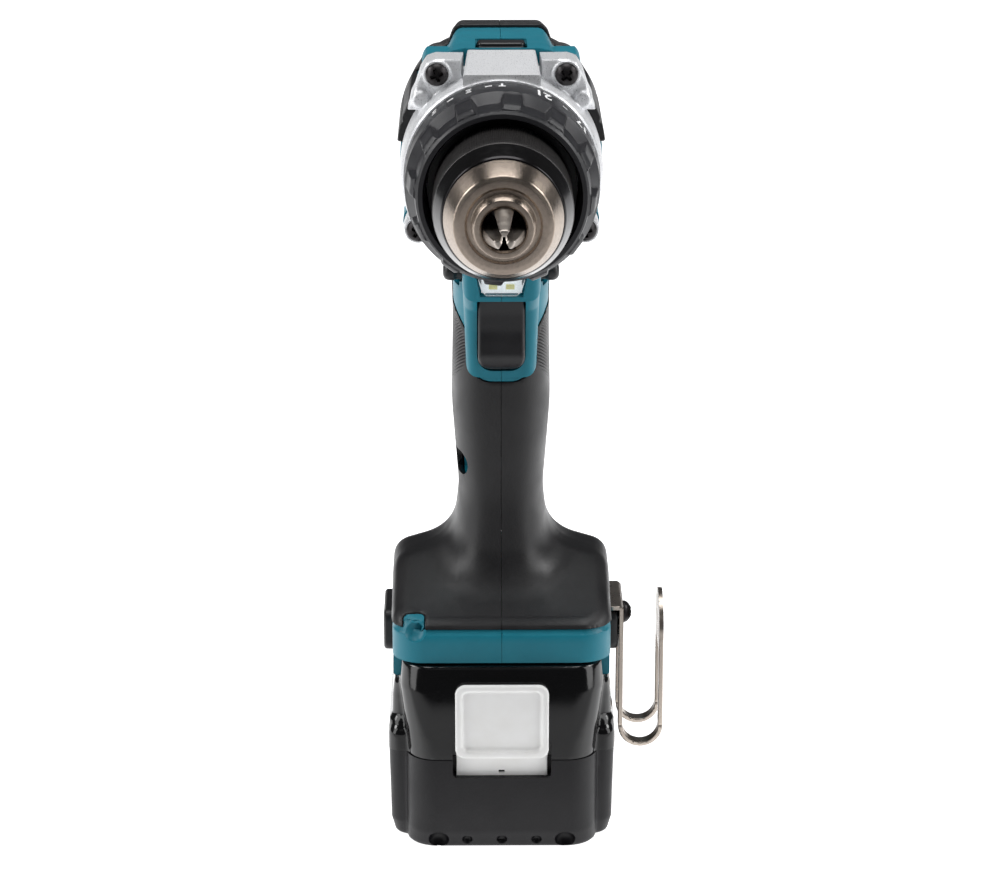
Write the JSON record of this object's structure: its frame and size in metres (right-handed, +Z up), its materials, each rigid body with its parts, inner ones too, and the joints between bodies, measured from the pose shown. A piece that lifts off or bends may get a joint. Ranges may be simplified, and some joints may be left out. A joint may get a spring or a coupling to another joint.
{
  "type": "cordless drill",
  "caption": "Pistol-grip cordless drill: keyless chuck, torque ring, geared motor head, rubber grip, trigger, belt hook and a slide-on battery foot.",
  "frame": {"origin": "middle of the battery's flat base, which the drill stands on", "axes": "+Z up, -Y towards the chuck's nose, +X towards the belt hook; the spindle axis is parallel to Y at z = 0.2275"},
  "size_m": [0.0944, 0.1922, 0.2645],
  "materials": {
    "teal_housing": "fine moulded texture, satin",
    "rubber": "matt black overmoulded elastomer",
    "cast_aluminium": "satin bead-blasted casting",
    "black_plastic": "matt black glass-filled nylon",
    "charcoal_plastic": "matt charcoal",
    "black_steel": "black oxide",
    "warm_steel": "turned steel, warm grey",
    "bright_steel": "ground bright steel",
    "gear_steel": "plain steel",
    "nickel": "bright nickel plate",
    "copper_winding": "enamelled copper on laminations",
    "brass_contact": "plain brass",
    "clear_lens": "clear moulded lens",
    "led_board": "white board with yellow phosphor chips",
    "circuit_board": "potted circuit board",
    "battery_gloss": "polished black",
    "battery_matt": "fine textured black",
    "button_white": "satin off-white",
    "cell_wrap": "shrink wrapped cells"
  },
  "bodies": {
    "tool": {"housing_left": "teal_housing", "housing_right": "teal_housing", "grip_left": "rubber", "grip_right": "rubber", "bumper_left": "rubber", "bumper_right": "rubber", "gear_case": "cast_aluminium", "gear_case_screw_1": "black_steel", "gear_case_screw_2": "black_steel", "gear_case_screw_3": "black_steel", "gear_case_screw_4": "black_steel", "lamp_lens": "clear_lens", "lamp_board": "led_board", "stator": "copper_winding", "rotor_bearing_front": "gear_steel", "rotor_bearing_rear": "gear_steel", "ring_gear": "gear_steel", "clutch_spring": "gear_steel", "clutch_thrust_ring": "gear_steel", "spindle_bearing": "gear_steel", "switch_body": "black_plastic", "controller": "circuit_board", "tool_terminal": "brass_contact", "belt_hook": "nickel", "hook_screw": "black_steel", "housing_screw_1": "black_steel", "housing_screw_2": "black_steel", "housing_screw_3": "black_steel", "housing_screw_4": "black_steel"},
    "spindle": {"spindle": "gear_steel", "chuck_body": "warm_steel", "chuck_screw": "gear_steel", "output_carrier": "gear_steel"},
    "sleeve": {"chuck_sleeve": "black_steel", "chuck_nut": "gear_steel"},
    "jaw_1": {"jaw_1": "bright_steel"},
    "jaw_2": {"jaw_2": "bright_steel"},
    "jaw_3": {"jaw_3": "bright_steel"},
    "torque_ring": {"torque_ring": "black_plastic", "torque_nut": "black_plastic"},
    "speed_lever": {"speed_lever": "black_plastic", "shift_wire": "gear_steel", "shift_ring_gear": "gear_steel"},
    "trigger": {"trigger": "charcoal_plastic"},
    "direction_lever": {"direction_lever": "black_plastic"},
    "rotor": {"rotor": "gear_steel", "fan": "black_plastic", "pinion": "gear_steel"},
    "first_carrier": {"first_carrier": "gear_steel"},
    "first_planet_1": {"first_planet_1": "gear_steel"},
    "first_planet_2": {"first_planet_2": "gear_steel"},
    "first_planet_3": {"first_planet_3": "gear_steel"},
    "output_planet_1": {"output_planet_1": "gear_steel"},
    "output_planet_2": {"output_planet_2": "gear_steel"},
    "output_planet_3": {"output_planet_3": "gear_steel"},
    "battery": {"battery_case_lower": "battery_matt", "battery_case_upper": "battery_gloss", "cell_pack": "cell_wrap", "battery_terminal": "brass_contact"},
    "battery_button": {"battery_button": "button_white"}
  },
  "joints": [
    {"name": "chuck_spin", "type": "hinge", "parent": "tool", "child": "spindle", "pos_m": [0, 0, 0.2275], "axis": [0, 1, 0], "continuous": true},
    {"name": "motor_spin", "type": "hinge", "parent": "tool", "child": "rotor", "pos_m": [0, 0, 0.2275], "axis": [0, 1, 0], "continuous": true},
    {"name": "first_carrier_spin", "type": "hinge", "parent": "tool", "child": "first_carrier", "pos_m": [0, 0, 0.2275], "axis": [0, 1, 0], "continuous": true},
    {"name": "first_planet_1_spin", "type": "hinge", "parent": "first_carrier", "child": "first_planet_1", "pos_m": [0, 0, 0.2395], "axis": [0, 1, 0], "continuous": true},
    {"name": "first_planet_2_spin", "type": "hinge", "parent": "first_carrier", "child": "first_planet_2", "pos_m": [0.01039, 0, 0.2215], "axis": [0, 1, 0], "continuous": true},
    {"name": "first_planet_3_spin", "type": "hinge", "parent": "first_carrier", "child": "first_planet_3", "pos_m": [-0.01039, 0, 0.2215], "axis": [0, 1, 0], "continuous": true},
    {"name": "output_planet_1_spin", "type": "hinge", "parent": "spindle", "child": "output_planet_1", "pos_m": [0, 0, 0.2395], "axis": [0, 1, 0], "continuous": true},
    {"name": "output_planet_2_spin", "type": "hinge", "parent": "spindle", "child": "output_planet_2", "pos_m": [0.01039, 0, 0.2215], "axis": [0, 1, 0], "continuous": true},
    {"name": "output_planet_3_spin", "type": "hinge", "parent": "spindle", "child": "output_planet_3", "pos_m": [-0.01039, 0, 0.2215], "axis": [0, 1, 0], "continuous": true},
    {"name": "sleeve_turn", "type": "hinge", "parent": "spindle", "child": "sleeve", "pos_m": [0, 0, 0.2275], "axis": [0, -1, 0], "range_deg": [0, 3240]},
    {"name": "jaw_1_slide", "type": "slide", "parent": "spindle", "child": "jaw_1", "axis": [0, 0.9636, 0.2672], "range_m": [0, 0.0215]},
    {"name": "jaw_2_slide", "type": "slide", "parent": "spindle", "child": "jaw_2", "axis": [0.2314, 0.9636, -0.1336], "range_m": [0, 0.0215]},
    {"name": "jaw_3_slide", "type": "slide", "parent": "spindle", "child": "jaw_3", "axis": [-0.2314, 0.9636, -0.1336], "range_m": [0, 0.0215]},
    {"name": "torque_ring_turn", "type": "hinge", "parent": "tool", "child": "torque_ring", "pos_m": [0, 0, 0.2275], "axis": [0, -1, 0], "range_deg": [-20, 175]},
    {"name": "speed_shift", "type": "slide", "parent": "tool", "child": "speed_lever", "axis": [0, -1, 0], "range_m": [0, 0.006]},
    {"name": "trigger_pull", "type": "slide", "parent": "tool", "child": "trigger", "axis": [0, 1, 0], "range_m": [0, 0.007], "stiffness_N_per_m": 700, "springref_m": -0.004},
    {"name": "direction_slide", "type": "slide", "parent": "tool", "child": "direction_lever", "axis": [1, 0, 0], "range_m": [-0.0035, 0.0035]},
    {"name": "battery_slide", "type": "slide", "parent": "tool", "child": "battery", "axis": [0, -1, 0], "range_m": [0, 0.09]},
    {"name": "battery_button_press", "type": "slide", "parent": "battery", "child": "battery_button", "axis": [0, 0, -1], "range_m": [0, 0.005], "stiffness_N_per_m": 900, "springref_m": -0.003}
  ],
  "couplings": [
    {"joint": "motor_spin", "follows": "chuck_spin", "ratio": 16},
    {"joint": "first_carrier_spin", "follows": "chuck_spin", "ratio": 4},
    {"joint": "first_planet_1_spin", "follows": "chuck_spin", "ratio": -12},
    {"joint": "first_planet_2_spin", "follows": "chuck_spin", "ratio": -12},
    {"joint": "first_planet_3_spin", "follows": "chuck_spin", "ratio": -12},
    {"joint": "output_planet_1_spin", "follows": "chuck_spin", "ratio": -3},
    {"joint": "output_planet_2_spin", "follows": "chuck_spin", "ratio": -3},
    {"joint": "output_planet_3_spin", "follows": "chuck_spin", "ratio": -3},
    {"joint": "jaw_1_slide", "follows": "sleeve_turn", "m_per_rad": 0.0003802},
    {"joint": "jaw_2_slide", "follows": "sleeve_turn", "m_per_rad": 0.0003802},
    {"joint": "jaw_3_slide", "follows": "sleeve_turn", "m_per_rad": 0.0003802}
  ]
}
